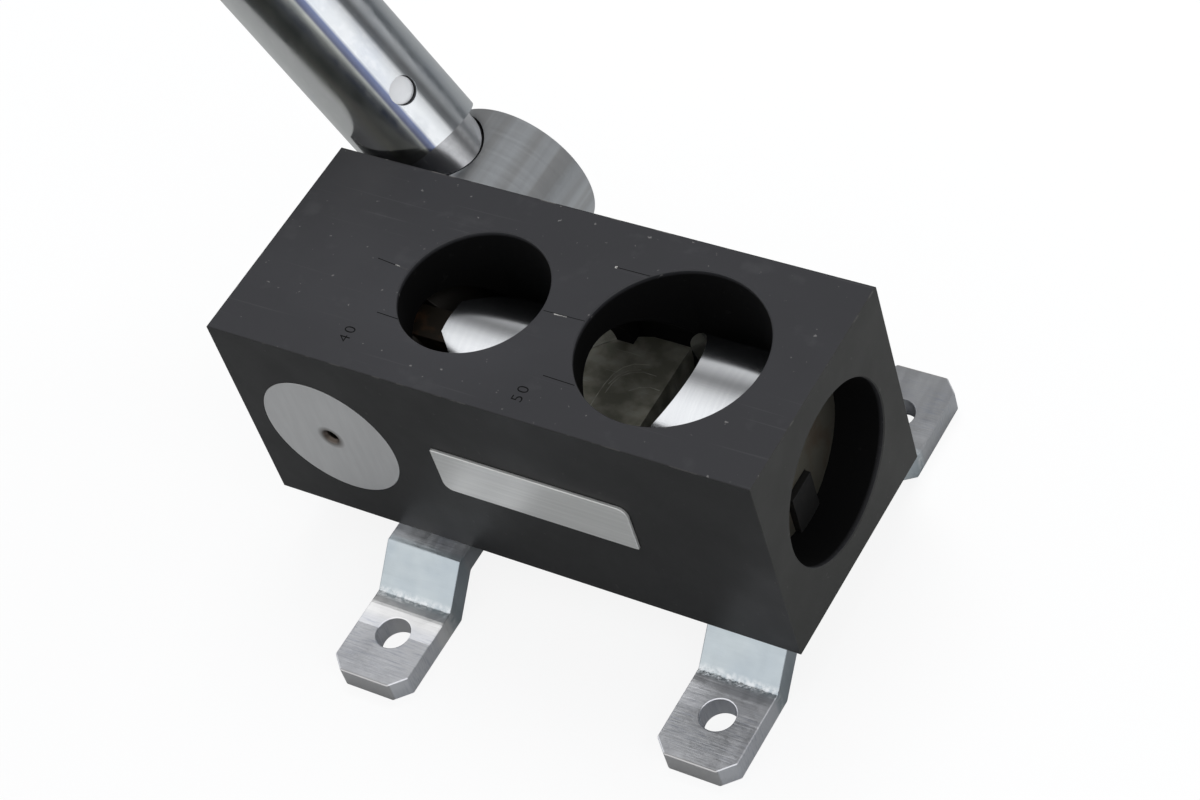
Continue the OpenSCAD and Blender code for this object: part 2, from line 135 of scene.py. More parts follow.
room.links.new(seen.outputs["Is Transmission Ray"], is_through.inputs[1])
room.links.new(is_through.outputs[0], room_mix.inputs[0])
room.links.new(plain_light.outputs[0], room_mix.inputs[1])
room.links.new(white_back.outputs[0], room_mix.inputs[2])
room.links.new(room_mix.outputs[0], room_out.inputs["Surface"])


def mesh_piece(name, vertices, faces):
    mesh = bpy.data.meshes.new(name)
    mesh.from_pydata(vertices, [], faces)
    mesh.update()
    piece = bpy.data.objects.new(name, mesh)
    bpy.context.scene.collection.objects.link(piece)
    return piece


def plain_surface(name, color, roughness):
    material = bpy.data.materials.new(name)
    material.use_nodes = True
    shader = material.node_tree.nodes["Principled BSDF"]
    shader.inputs["Base Color"].default_value = (*color, 1)
    shader.inputs["Roughness"].default_value = roughness
    return material


floor_half = 6.0
floor = mesh_piece("floor", [(-floor_half, -floor_half, 0), (floor_half, -floor_half, 0),
                             (floor_half, floor_half, 0), (-floor_half, floor_half, 0)], [(0, 1, 2, 3)])
pale = plain_surface("pale_floor", (0.9, 0.9, 0.9), 0.9)
pale_tree = pale.node_tree
shown_white = pale_tree.nodes.new("ShaderNodeEmission")
shown_mix = pale_tree.nodes.new("ShaderNodeMixShader")
shown_mix.inputs[0].default_value = 0.88
table = pale_tree.nodes.new("ShaderNodeBsdfDiffuse")
floor_place = pale_tree.nodes.new("ShaderNodeTexCoord")
floor_reach = pale_tree.nodes.new("ShaderNodeVectorMath")
floor_reach.operation = "LENGTH"
floor_far = pale_tree.nodes.new("ShaderNodeMapRange")
floor_far.inputs["From Min"].default_value = 0.35
floor_far.inputs["From Max"].default_value = 0.9
floor_tone = pale_tree.nodes.new("ShaderNodeMix")
floor_tone.data_type = "RGBA"
floor_tone.inputs["A"].default_value = (0.40, 0.40, 0.395, 1)
floor_tone.inputs["B"].default_value = (0.16, 0.165, 0.17, 1)
eye = pale_tree.nodes.new("ShaderNodeLightPath")
floor_mix = pale_tree.nodes.new("ShaderNodeMixShader")
pale_tree.links.new(floor_place.outputs["Object"], floor_reach.inputs[0])
pale_tree.links.new(floor_reach.outputs["Value"], floor_far.inputs["Value"])
pale_tree.links.new(floor_far.outputs[0], floor_tone.inputs["Factor"])
pale_tree.links.new(floor_tone.outputs["Result"], table.inputs["Color"])
pale_tree.links.new(pale_tree.nodes["Principled BSDF"].outputs[0], shown_mix.inputs[1])
pale_tree.links.new(shown_white.outputs[0], shown_mix.inputs[2])
pale_tree.links.new(eye.outputs["Is Camera Ray"], floor_mix.inputs[0])
pale_tree.links.new(table.outputs[0], floor_mix.inputs[1])
pale_tree.links.new(shown_mix.outputs[0], floor_mix.inputs[2])
pale_tree.links.new(floor_mix.outputs[0], pale_tree.nodes["Material Output"].inputs["Surface"])
floor.data.materials.append(pale)


def dark_card(name, color, place, target, width, height):
    card = mesh_piece(name, [(-width / 2, -height / 2, 0), (width / 2, -height / 2, 0),
                             (width / 2, height / 2, 0), (-width / 2, height / 2, 0)], [(0, 1, 2, 3)])
    card.location = place
    card.rotation_euler = (Vector(target) - Vector(place)).to_track_quat("-Z", "Y").to_euler()
    card.data.materials.append(plain_surface(name, color, 0.9))
    card.visible_camera = False
    card.visible_diffuse = False
    card.visible_shadow = False


dark_card("card_low", (0.03, 0.033, 0.035), (-0.25, -0.62, 0.002), (-0.25, -0.62, 1.0), 1.3, 0.8)
dark_card("card_blue", (0.05, 0.07, 0.16), (1.1, -1.1, 0.09), (0.0, 0.0, 0.09), 2.2, 0.18)

# Block
# A milled square bar of steel with a black oxide finish, bored down for two sizes of pipe, along for the ram
# and across for the shaft. Its edges are just broken and rubbed bare in spots. Painted shade makes its bores
# near black and dull, its front face darker and its right face one flat dark tone.
MM = 0.001


def new_group(name, inputs, outputs):
    group = bpy.data.node_groups.new(name, "ShaderNodeTree")
    for kind, label, value in inputs:
        socket = group.interface.new_socket(label, in_out="INPUT", socket_type=kind)
        if value is not None:
            socket.default_value = value
    for kind, label in outputs:
        group.interface.new_socket(label, in_out="OUTPUT", socket_type=kind)
    return group, group.nodes.new("NodeGroupInput"), group.nodes.new("NodeGroupOutput")


def math_node(tree, operation, first, second=None):
    node = tree.nodes.new("ShaderNodeMath")
    node.operation = operation
    for slot, value in enumerate((first, second)):
        if value is None:
            continue
        if isinstance(value, (int, float)):
            node.inputs[slot].default_value = value
        else:
            tree.links.new(value, node.inputs[slot])
    return node.outputs[0]


# Grain stretched along a direction, from 0 to 1
grain, grain_in, grain_out = new_group(
    "stretched_grain",
    [("NodeSocketVector", "Place", None), ("NodeSocketVector", "Stretch", (1, 1, 1)),
     ("NodeSocketFloat", "Low", 0.4), ("NodeSocketFloat", "High", 0.6), ("NodeSocketFloat", "Detail", 4.0)],
    [("NodeSocketFloat", "Mask")])
grain_scale = grain.nodes.new("ShaderNodeVectorMath")
grain_scale.operation = "MULTIPLY"
grain_noise = grain.nodes.new("ShaderNodeTexNoise")
grain_noise.inputs["Scale"].default_value = 1.0
grain_range = grain.nodes.new("ShaderNodeMapRange")
grain.links.new(grain_in.outputs["Place"], grain_scale.inputs[0])
grain.links.new(grain_in.outputs["Stretch"], grain_scale.inputs[1])
grain.links.new(grain_scale.outputs[0], grain_noise.inputs["Vector"])
grain.links.new(grain_in.outputs["Detail"], grain_noise.inputs["Detail"])
grain.links.new(grain_noise.outputs["Fac"], grain_range.inputs["Value"])
grain.links.new(grain_in.outputs["Low"], grain_range.inputs["From Min"])
grain.links.new(grain_in.outputs["High"], grain_range.inputs["From Max"])
grain.links.new(grain_range.outputs[0], grain_out.inputs["Mask"])

# Rubbed edges of a square bar: 1 on an edge, 0 away from it
edges, edges_in, edges_out = new_group(
    "rubbed_edges",
    [("NodeSocketVector", "Place", None), ("NodeSocketVector", "Centre", (0, 0, 0)),
     ("NodeSocketVector", "Half", (1, 1, 1)), ("NodeSocketFloat", "Reach", 0.001)],
    [("NodeSocketFloat", "Mask")])
edges_off = edges.nodes.new("ShaderNodeVectorMath")
edges_off.operation = "SUBTRACT"
edges_abs = edges.nodes.new("ShaderNodeVectorMath")
edges_abs.operation = "ABSOLUTE"
edges_left = edges.nodes.new("ShaderNodeVectorMath")
edges_left.operation = "SUBTRACT"
edges_split = edges.nodes.new("ShaderNodeSeparateXYZ")
edges.links.new(edges_in.outputs["Place"], edges_off.inputs[0])
edges.links.new(edges_in.outputs["Centre"], edges_off.inputs[1])
edges.links.new(edges_off.outputs[0], edges_abs.inputs[0])
edges.links.new(edges_in.outputs["Half"], edges_left.inputs[0])
edges.links.new(edges_abs.outputs[0], edges_left.inputs[1])
edges.links.new(edges_left.outputs[0], edges_split.inputs[0])
gap_x, gap_y, gap_z = edges_split.outputs[:3]
pair_xy = math_node(edges, "MAXIMUM", gap_x, gap_y)
pair_yz = math_node(edges, "MAXIMUM", gap_y, gap_z)
pair_zx = math_node(edges, "MAXIMUM", gap_z, gap_x)
edge_gap = math_node(edges, "MINIMUM", math_node(edges, "MINIMUM", pair_xy, pair_yz), pair_zx)
edge_share = math_node(edges, "DIVIDE", edge_gap, edges_in.outputs["Reach"])
edge_near = edges.nodes.new("ShaderNodeClamp")
edges.links.new(math_node(edges, "SUBTRACT", 1.0, edge_share), edge_near.inputs["Value"])
edges.links.new(edge_near.outputs[0], edges_out.inputs["Mask"])


class Finish:
    """A metal or painted finish: a Principled shader whose colour and roughness are mixed by masks."""

    def __init__(self, name, color, roughness, metallic=0.0):
        self.material = bpy.data.materials.new(name)
        self.material.use_nodes = True
        self.tree = self.material.node_tree
        self.shader = self.tree.nodes["Principled BSDF"]
        self.shader.inputs["Metallic"].default_value = metallic
        self.place = self.tree.nodes.new("ShaderNodeTexCoord").outputs["Object"]
        self.color = color
        self.rough = roughness
        self.height = None

    def grain(self, stretch, low=0.4, high=0.6, detail=4.0):
        node = self.tree.nodes.new("ShaderNodeGroup")
        node.node_tree = grain
        node.inputs["Stretch"].default_value = stretch
        node.inputs["Low"].default_value = low
        node.inputs["High"].default_value = high
        node.inputs["Detail"].default_value = detail
        self.tree.links.new(self.place, node.inputs["Place"])
        return node.outputs["Mask"]

    def edges(self, low, high, reach):
        node = self.tree.nodes.new("ShaderNodeGroup")
        node.node_tree = edges
        node.inputs["Centre"].default_value = [(a + b) / 2 for a, b in zip(low, high)]
        node.inputs["Half"].default_value = [(b - a) / 2 for a, b in zip(low, high)]
        node.inputs["Reach"].default_value = reach
        self.tree.links.new(self.place, node.inputs["Place"])
        return node.outputs["Mask"]

    def band(self, axis, low, high, fade):
        split = self.tree.nodes.new("ShaderNodeSeparateXYZ")
        self.tree.links.new(self.place, split.inputs[0])
        ramp = []
        for edge, start, end in ((low, 0.0, 1.0), (high, 1.0, 0.0)):
            step = self.tree.nodes.new("ShaderNodeMapRange")
            step.inputs["From Min"].default_value = edge - fade / 2
            step.inputs["From Max"].default_value = edge + fade / 2
            step.inputs["To Min"].default_value = start
            step.inputs["To Max"].default_value = end
            self.tree.links.new(split.outputs[axis], step.inputs["Value"])
            ramp.append(step.outputs[0])
        return math_node(self.tree, "MULTIPLY", *ramp)

    def times(self, first, second):
        return math_node(self.tree, "MULTIPLY", first, second)

    def tint(self, mask, color, amount=1.0):
        mix = self.tree.nodes.new("ShaderNodeMix")
        mix.data_type = "RGBA"
        self.tree.links.new(self.times(mask, amount), mix.inputs["Factor"])
        if isinstance(self.color, tuple):
            mix.inputs["A"].default_value = (*self.color, 1)
        else:
            self.tree.links.new(self.color, mix.inputs["A"])
        mix.inputs["B"].default_value = (*color, 1)
        self.color = mix.outputs["Result"]

    def roughen(self, mask, amount):
        self.rough = math_node(self.tree, "ADD", self.rough, self.times(mask, amount))

    def raise_by(self, mask, amount):
        lift = self.times(mask, amount)
        self.height = lift if self.height is None else math_node(self.tree, "ADD", self.height, lift)

    def done(self, bump=0.3):
        if isinstance(self.color, tuple):
            self.shader.inputs["Base Color"].default_value = (*self.color, 1)
        else:
            self.tree.links.new(self.color, self.shader.inputs["Base Color"])
        if isinstance(self.rough, float):
            self.shader.inputs["Roughness"].default_value = self.rough
        else:
            self.tree.links.new(self.rough, self.shader.inputs["Roughness"])
        if self.height is not None:
            node = self.tree.nodes.new("ShaderNodeBump")
            node.inputs["Strength"].default_value = bump
            node.inputs["Distance"].default_value = MM
            self.tree.links.new(self.height, node.inputs["Height"])
            self.tree.links.new(node.outputs[0], self.shader.inputs["Normal"])
        return self.material


def at(x, y, z):
    """A point given in millimetres from the block's front left lower corner."""
    return block_low + Vector((x, y, z)) * MM


def along(axis, point):
    """The place of a turned solid whose own Z runs along X, Y or Z from a point."""
    turns = {"X": Matrix.Rotation(math.radians(90), 4, "Y"), "Y": Matrix.Rotation(math.radians(-90), 4, "X"),
             "Z": Matrix.Identity(4)}
    return Matrix.Translation(point) @ turns[axis]


def turned(name, profile, place, steps=144):
    """A solid turned from a profile of (radius, height) pairs in millimetres, from axis to axis."""
    vertices, rings, faces = [], [], []
    for radius, height in profile:
        start = len(vertices)
        if radius == 0:
            vertices.append((0, 0, height * MM))
            rings.append([start])
            continue
        for step in range(steps):
            angle = 2 * math.pi * step / steps
            vertices.append((radius * MM * math.cos(angle), radius * MM * math.sin(angle), height * MM))
        rings.append(list(range(start, start + steps)))
    for low, high in zip(rings, rings[1:]):
        for step in range(steps):
            after = (step + 1) % steps
            if len(low) == 1:
                faces.append((low[0], high[after], high[step]))
            elif len(high) == 1:
                faces.append((low[step], low[after], high[0]))
            else:
                faces.append((low[step], low[after], high[after], high[step]))
    piece = mesh_piece(name, vertices, faces)
    piece.data.transform(place)
    return outward(piece)


def rod(name, radius, low, high, place, steps=160):
    """A round bar of a radius between two heights, in millimetres."""
    return turned(name, [(0, low), (radius, low), (radius, high), (0, high)], place, steps)


def squared(name, low, high, place=None):
    """A square block between two corners."""
    corners = [(x, y, z) for x in (low[0], high[0]) for y in (low[1], high[1]) for z in (low[2], high[2])]
    faces = [(0, 1, 3, 2), (4, 6, 7, 5), (0, 4, 5, 1), (2, 3, 7, 6), (0, 2, 6, 4), (1, 5, 7, 3)]
    piece = mesh_piece(name, corners, faces)
    if place is not None:
        piece.data.transform(place)
    return outward(piece)


def outward(piece):
    bm = bmesh.new()
    bm.from_mesh(piece.data)
    bmesh.ops.remove_doubles(bm, verts=bm.verts, dist=0.001 * MM)
    bmesh.ops.recalc_face_normals(bm, faces=bm.faces)
    bm.to_mesh(piece.data)
    bm.free()
    return piece


def settled(piece):
    """The piece with its modifiers worked into its mesh."""
    shown = bpy.context.evaluated_depsgraph_get()
    made = bpy.data.meshes.new_from_object(piece.evaluated_get(shown))
    piece.modifiers.clear()
    piece.data = made
    return piece


def carved(piece, *tools, operation="DIFFERENCE"):
    """The piece cut by each tool in turn, or kept only inside it."""
    for tool in tools:
        cut = piece.modifiers.new("cut", "BOOLEAN")
        cut.object = tool
        cut.operation = operation
        cut.solver = "EXACT"
        settled(piece)
        bpy.data.objects.remove(tool)
    return piece


def finished(piece, node, width, segments=2):
    """Breaks the piece's sharp edges and lets it stand for its node."""
    bm = bmesh.new()
    bm.from_mesh(piece.data)
    bmesh.ops.remove_doubles(bm, verts=bm.verts, dist=0.002 * MM)
    bmesh.ops.dissolve_limit(bm, angle_limit=math.radians(0.4), verts=bm.verts, edges=bm.edges)
    bm.to_mesh(piece.data)
    bm.free()
    bevel = piece.modifiers.new("broken_edges", "BEVEL")
    bevel.width = width
    bevel.segments = segments
    bevel.limit_method = "ANGLE"
    bevel.angle_limit = math.radians(30)
    bevel.miter_outer = "MITER_ARC"
    bevel.harden_normals = True
    piece.data.shade_smooth()
    piece.data.set_sharp_from_angle(angle=math.radians(28))
    settled(piece)
    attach(piece, frame["nodes"][node]["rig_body"])
    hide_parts(node)
    return piece


def softened(node, name, width, segments=2):
    """A CAD node's own shape with its sharp edges broken."""
    piece = bpy.data.objects.new(name, frame["nodes"][node].data.copy())
    bpy.context.scene.collection.objects.link(piece)
    return finished(piece, node, width, segments)


def dress(piece, material):
    piece.data.materials.clear()
    piece.data.materials.append(material)
    return piece


block_low, block_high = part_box("body_block")
rub_reach, face_skin, bore_skin = 0.45 * MM, 0.3 * MM, 1.4 * MM
oxide = Finish("black_oxide", (0.026, 0.026, 0.029), 0.46)
clouds = oxide.grain((9, 14, 12), 0.42, 0.64)
smudges = oxide.grain((80, 95, 80), 0.60, 0.78)
scratches = oxide.grain((16, 900, 900), 0.66, 0.72, 2.0)
specks = oxide.grain((420, 420, 420), 0.71, 0.75, 2.0)
oxide.tint(clouds, (0.034, 0.034, 0.038), 0.8)
oxide.tint(smudges, (0.055, 0.055, 0.058), 0.5)
oxide.tint(scratches, (0.065, 0.065, 0.068), 0.3)
oxide.tint(specks, (0.20, 0.195, 0.19), 0.6)
oxide.roughen(oxide.grain((60, 60, 60), 0.35, 0.65), 0.08)
rub = oxide.edges(block_low, block_high, rub_reach)
bare_spots = oxide.times(rub, oxide.grain((190, 190, 190), 0.56, 0.62))
oxide.tint(rub, (0.008, 0.008, 0.009), 0.8)
oxide.tint(bare_spots, (0.22, 0.21, 0.20), 0.6)
# Painted shade: the front face is made much darker than the top.
front_face_shade = oxide.band(1, block_low.y - MM, block_low.y + face_skin, 0.4 * MM)
oxide.tint(front_face_shade, (0.010, 0.010, 0.0098), 0.85)
# Painted shade: the right face is set to one flat, warmer dark tone.
right_face_shade = oxide.band(0, block_high.x - face_skin, block_high.x + MM, 0.4 * MM)
oxide.tint(right_face_shade, (0.033, 0.033, 0.029), 0.75)
# Painted shade: surfaces deep inside the block, the bore walls, are made near black, rougher and less shiny.
deep = [oxide.band(axis, block_low[axis] + bore_skin, block_high[axis] - bore_skin, 1.2 * MM)
        for axis in range(3)]
bore_shade = oxide.times(oxide.times(deep[0], deep[1]), deep[2])
oxide.tint(bore_shade, (0.002, 0.002, 0.002), 0.96)
oxide.roughen(bore_shade, 0.3)
shine = math_node(oxide.tree, "SUBTRACT", 0.4, oxide.times(bore_shade, 0.3))
oxide.tree.links.new(shine, oxide.shader.inputs["Specular IOR Level"])
oxide.raise_by(oxide.grain((700, 700, 700), 0.3, 0.7, 3.0), 0.02)
block_black = oxide.done(0.25)
bar_side, bar_length = 80, 194
bore_y, bore_z, bore_step = 40, 40, 108.5
shaft_x, shaft_z = 33, 38.5
thin_bore, wide_bore, journal_bore = 24.45, 29.25, 25.05
key_left, key_right, key_front, key_back = 153, 179, 34, 46
slot_floor, slot_top = 5, 30
pipe_holes = ((75.7, 24.4), (146.2, 30.1))
past, fine_steps = 1, 192


def rim(radius, height, rim_break=0.4):
    """The last points of a bore's profile, with the break of its rim."""
    outer = height + rim_break
    return [(radius, height - rim_break), (radius + 2 * rim_break, outer), (0, outer)]


block = squared("block_shell", block_low, block_high)
for hole_x, hole_radius in pipe_holes:
    hole_profile = [(0, 0), (hole_radius, 0), *rim(hole_radius, bar_side - bore_z)]
    pipe_hole = turned("pipe_hole", hole_profile, along("Z", at(hole_x, bore_y, bore_z)), fine_steps)
    block = carved(block, pipe_hole)
bore_line = along("X", at(0, bore_y, bore_z))
bore_profile = [(0, -past), (thin_bore, -past), (thin_bore, bore_step), (wide_bore, bore_step),
                *rim(wide_bore, bar_length)]
ram_bore = turned("ram_bore", bore_profile, bore_line, fine_steps)
shaft_bore = rod("shaft_bore", journal_bore, -past, bar_side + past, along("Y", at(shaft_x, 0, shaft_z)))
key_slot = squared("key_slot", at(key_left, key_front, slot_floor), at(key_right, key_back, slot_top))
carved(block, ram_bore, shaft_bore, key_slot)
dress(finished(block, "body_block", 0.15 * MM), block_black)

# Scribed lines and stamps
# Lines scribed beside the pipe holes to set the pipe by, some filled with old dirt and some scratched bright,
# and the plain pipe sizes punched near them.
dirt = Finish("mark_dirt", (0.005, 0.005, 0.005), 0.8)
dirt.shader.inputs["Specular IOR Level"].default_value = 0.1
mark_dirt = dirt.done()
bright = Finish("mark_bright", (0.03, 0.03, 0.032), 0.5)
bright.tint(bright.grain((520, 520, 520), 0.44, 0.56), (0.42, 0.41, 0.39), 0.9)
mark_bright = bright.done()


def ribbon(name, points, width, height):
    """A thin flat strip along points (x, y) at a height, all in millimetres."""
    sides = []
    for step, (x, y) in enumerate(points):
        before, after = points[max(step - 1, 0)], points[min(step + 1, len(points) - 1)]
        along_x, along_y = after[0] - before[0], after[1] - before[1]
        long = math.hypot(along_x, along_y)
        off_x, off_y = -along_y / long * width / 2, along_x / long * width / 2
        sides += [at(x + off_x, y + off_y, height), at(x - off_x, y - off_y, height)]
    quads = [(2 * i + 1, 2 * i + 3, 2 * i + 2, 2 * i) for i in range(len(points) - 1)]
    return mesh_piece(name, sides, quads)


scribes = (("small_front", ((50.6, 22.8), (58.6, 22.5)), 0.28, mark_dirt),
           ("small_middle", ((38.6, 42.2), (45.6, 41.5)), 0.28, mark_dirt),
           ("small_middle_bright", ((45.6, 41.5), (51.0, 40.9)), 0.55, mark_bright),
           ("large_front", ((114.2, 17.7), (125.4, 17.4)), 0.28, mark_dirt),
           ("large_middle", ((101.2, 40.1), (115.8, 40.4)), 0.22, mark_dirt),
           ("large_middle_bright", ((104.5, 39.9), (109.5, 40.1)), 0.5, mark_bright),
           ("large_back", ((114.3, 62.5), (126.2, 62.6)), 0.25, mark_dirt),
           ("large_back_bright", ((113.9, 62.5), (114.7, 62.5)), 0.8, mark_bright))
mark_height, figure_size = bar_side + 0.02, 5.5
for name, points, width, finish in scribes:
    line = ribbon("scribe_" + name, points, width, mark_height)
    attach(dress(line, finish), "base")
for figures, x, y in (("40", 48, 9), ("50", 113, 6)):
    words = bpy.data.curves.new("stamp_" + figures, "FONT")
    words.body = figures
    words.size = figure_size * MM
    words.space_character = 1.3
    words.offset = -0.05 * MM
    flat = bpy.data.objects.new("stamp_" + figures, words)
    bpy.context.scene.collection.objects.link(flat)
    shown = bpy.context.evaluated_depsgraph_get()
    stamp = mesh_piece("punched_" + figures, [], [])
    stamp.data = bpy.data.meshes.new_from_object(flat.evaluated_get(shown))
    bpy.data.objects.remove(flat)
    stamp.data.transform(Matrix.Rotation(math.radians(90), 4, "Z"))
    stamp.data.transform(Matrix.Translation(at(x, y, mark_height)))
    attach(dress(stamp, mark_dirt), "base")

# Straps
# Zinc plated flat bars, joggled down at both ends to feet with a bolt hole and clipped corners. The press has
# left a rough crease at each bend, and brushing has left fine streaks by the holes. Painted light and shade:
# a white highlight past the left strap's front bend, lighter front feet and darker back feet.
crease_out = 49
# The feet's tones are painted light and shade: the front foot lit, the back foot shaded.
lit_foot_tone, shaded_foot_tone, crease_blue = (0.93, 0.94, 0.98), (0.56, 0.57, 0.59), (0.48, 0.58, 0.62)


def strip(plate, crease, side, start, end, fade):
    """Where a strap lies between two distances past its crease, in millimetres."""
    ends = sorted(crease + side * reach * MM for reach in (start, end))
    return plate.band(1, *ends, fade * MM)


for strap_name in ("left_strap", "right_strap"):
    low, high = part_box(strap_name)
    centre_y = (low.y + high.y) / 2
    plate = Finish(strap_name + "_zinc", (0.60, 0.62, 0.65), 0.30, 1.0)
    pale_grain = plate.grain((60, 500, 60), 0.35, 0.7)
    dull_patches = plate.grain((70, 70, 70), 0.45, 0.7)
    plate.tint(pale_grain, (0.78, 0.80, 0.82), 0.5)
    plate.tint(dull_patches, (0.46, 0.49, 0.56), 0.6)
    plate.roughen(plate.grain((300, 60, 300), 0.3, 0.7), 0.14)
    is_left_strap = strap_name == "left_strap"
    for side, tip_y, foot_light_tone in ((-1, low.y, lit_foot_tone), (1, high.y, shaded_foot_tone)):
        crease = centre_y + side * crease_out * MM
        # Painted light and shade: the front foot is made lighter, the back foot darker.
        foot_light_mask = strip(plate, crease, side, 1.5, 50, 1.5)
        plate.tint(foot_light_mask, foot_light_tone, 0.75)
        by_hole = strip(plate, crease, side, 9, 27, 8)
        brushed = plate.times(by_hole, plate.grain((150, 1500, 150), 0.50, 0.72))
        plate.tint(brushed, (0.42, 0.46, 0.56), 0.5)
        if is_left_strap and side < 0:
            # Painted highlight: a white band just past the left strap's front bend.
            painted_bend_highlight = strip(plate, crease, side, 1, 9, 3)
            plate.tint(painted_bend_highlight, (1.0, 1.0, 1.0), 0.9)
        sawn_tip = plate.band(1, tip_y - 0.6 * MM, tip_y + 0.6 * MM, 0.4 * MM)
        plate.tint(sawn_tip, (0.50, 0.49, 0.48), 0.7)
        bulge = strip(plate, crease, side, 0, 9, 8)
        plate.raise_by(bulge, 3.4 if is_left_strap else 0.8)
        slope = strip(plate, crease, side, 1.5, -14, 2)
        plate.tint(slope, crease_blue, 0.5)
        line = strip(plate, crease, side, -1.2, 1.2, 1.4)
        rough_line = plate.times(line, plate.grain((700, 500, 700), 0.35, 0.6))
        plate.tint(rough_line, (0.9, 0.92, 0.94), 0.7)
        plate.raise_by(rough_line, 0.35)
    dimples = plate.grain((240, 240, 240), 0.3, 0.7)
    brush_lines = plate.grain((60, 1500, 60), 0.3, 0.7)
    plate.raise_by(dimples, 0.10)
    plate.raise_by(brush_lines, 0.045)
    dress(softened(strap_name, strap_name + "_bar", 0.7 * MM, 3), plate.done(0.5))

# Socket screws
# Black cap screws with a hexagon socket: four hold the straps, two the key and two the cutter. One tree turns
# the screw and sets it at each seat; the single screws and the bore's plug keep their own turned shape.
screw = Finish("screw_black", (0.045, 0.044, 0.045), 0.38, 0.6)
screw.tint(screw.grain((300, 300, 300), 0.5, 0.7), (0.12, 0.115, 0.11), 0.6)
screw_black = screw.done()
screws = bpy.data.node_groups.new("socket_screws", "GeometryNodeTree")
screws.interface.new_socket("Seats", in_out="INPUT", socket_type="NodeSocketGeometry")
for label in ("Head Radius", "Head Height", "Head Break", "Shank Radius", "Shank Length", "Socket Radius",
              "Socket Depth", "Turn"):
    screws.interface.new_socket(label, in_out="INPUT", socket_type="NodeSocketFloat")
screws.interface.new_socket("Screws", in_out="OUTPUT", socket_type="NodeSocketGeometry")
asked = screws.nodes.new("NodeGroupInput").outputs
screws_out = screws.nodes.new("NodeGroupOutput")
screw_steps = 48


def screw_round(corners, radius, height, middle_z):
    """A cylinder of the screw, standing with its middle at a height."""
    node = screws.nodes.new("GeometryNodeMeshCylinder")
    node.inputs["Vertices"].default_value = corners
    screws.links.new(height, node.inputs["Depth"])
    screws.links.new(radius, node.inputs["Radius"])
    raised = screws.nodes.new("GeometryNodeTransform")
    lift = screws.nodes.new("ShaderNodeCombineXYZ")
    screws.links.new(middle_z, lift.inputs["Z"])
    screws.links.new(lift.outputs[0], raised.inputs["Translation"])
    screws.links.new(node.outputs["Mesh"], raised.inputs["Geometry"])
    return raised.outputs["Geometry"]


def screw_join(operation, first, second):
    node = screws.nodes.new("GeometryNodeMeshBoolean")
    node.operation = operation
    if operation == "DIFFERENCE":
        screws.links.new(first, node.inputs[0])
    else:
        screws.links.new(first, node.inputs[1])
    screws.links.new(second, node.inputs[1])
    return node.outputs["Mesh"]


head_half = math_node(screws, "MULTIPLY", asked["Head Height"], -0.5)
head_round = screw_round(screw_steps, asked["Head Radius"], asked["Head Height"], head_half)
break_low = math_node(screws, "SUBTRACT", asked["Head Radius"], asked["Head Break"])
break_high = math_node(screws, "ADD", break_low, asked["Head Height"])
cone = screws.nodes.new("GeometryNodeMeshCone")
cone.inputs["Vertices"].default_value = screw_steps
screws.links.new(break_low, cone.inputs["Radius Bottom"])
screws.links.new(break_high, cone.inputs["Radius Top"])
screws.links.new(asked["Head Height"], cone.inputs["Depth"])
cone_drop = screws.nodes.new("GeometryNodeTransform")
cone_shift = screws.nodes.new("ShaderNodeCombineXYZ")
screws.links.new(math_node(screws, "MULTIPLY", asked["Head Height"], -1.0), cone_shift.inputs["Z"])
screws.links.new(cone_shift.outputs[0], cone_drop.inputs["Translation"])
screws.links.new(cone.outputs["Mesh"], cone_drop.inputs["Geometry"])
head = screw_join("INTERSECT", head_round, cone_drop.outputs["Geometry"])
socket_mid = math_node(screws, "MULTIPLY", asked["Head Height"], -1.0)
socket_deep = math_node(screws, "MULTIPLY", asked["Socket Depth"], 2.0)
socket = screw_round(6, asked["Socket Radius"], socket_deep, socket_mid)
head = screw_join("DIFFERENCE", head, socket)
shank_half = math_node(screws, "MULTIPLY", asked["Shank Length"], 0.5)
shank_mid = math_node(screws, "SUBTRACT", shank_half, 0.1 * MM)
shank = screw_round(screw_steps, asked["Shank Radius"], asked["Shank Length"], shank_mid)
one_screw = screw_join("UNION", head, shank)
turned_screw = screws.nodes.new("GeometryNodeTransform")
turn_about = screws.nodes.new("ShaderNodeCombineXYZ")
screws.links.new(asked["Turn"], turn_about.inputs["X"])
screws.links.new(turn_about.outputs[0], turned_screw.inputs["Rotation"])
screws.links.new(one_screw, turned_screw.inputs["Geometry"])
seat_points = screws.nodes.new("GeometryNodeInstanceOnPoints")
screws.links.new(asked["Seats"], seat_points.inputs["Points"])
screws.links.new(turned_screw.outputs["Geometry"], seat_points.inputs["Instance"])
made_real = screws.nodes.new("GeometryNodeRealizeInstances")
screws.links.new(seat_points.outputs[0], made_real.inputs[0])
coated = screws.nodes.new("GeometryNodeSetMaterial")
coated.inputs["Material"].default_value = screw_black
screws.links.new(made_real.outputs[0], coated.inputs["Geometry"])
screws.links.new(coated.outputs[0], screws_out.inputs["Screws"])


def set_screws(node, seats, sizes, turn):
    """The screws of one node, at seats and with sizes in millimetres."""
    piece = mesh_piece(node + "_cap", [at(*seat) for seat in seats], [])
    tree = piece.modifiers.new("screws", "NODES")
    tree.node_group = screws
    values = [size * MM for size in sizes] + [turn]
    inputs = [item for item in screws.interface.items_tree if item.in_out == "INPUT"]
    for item, value in zip(inputs[1:], values):
        tree[item.identifier] = value
    settled(piece)
    dress(finished(piece, node, 0.18 * MM), screw_black)


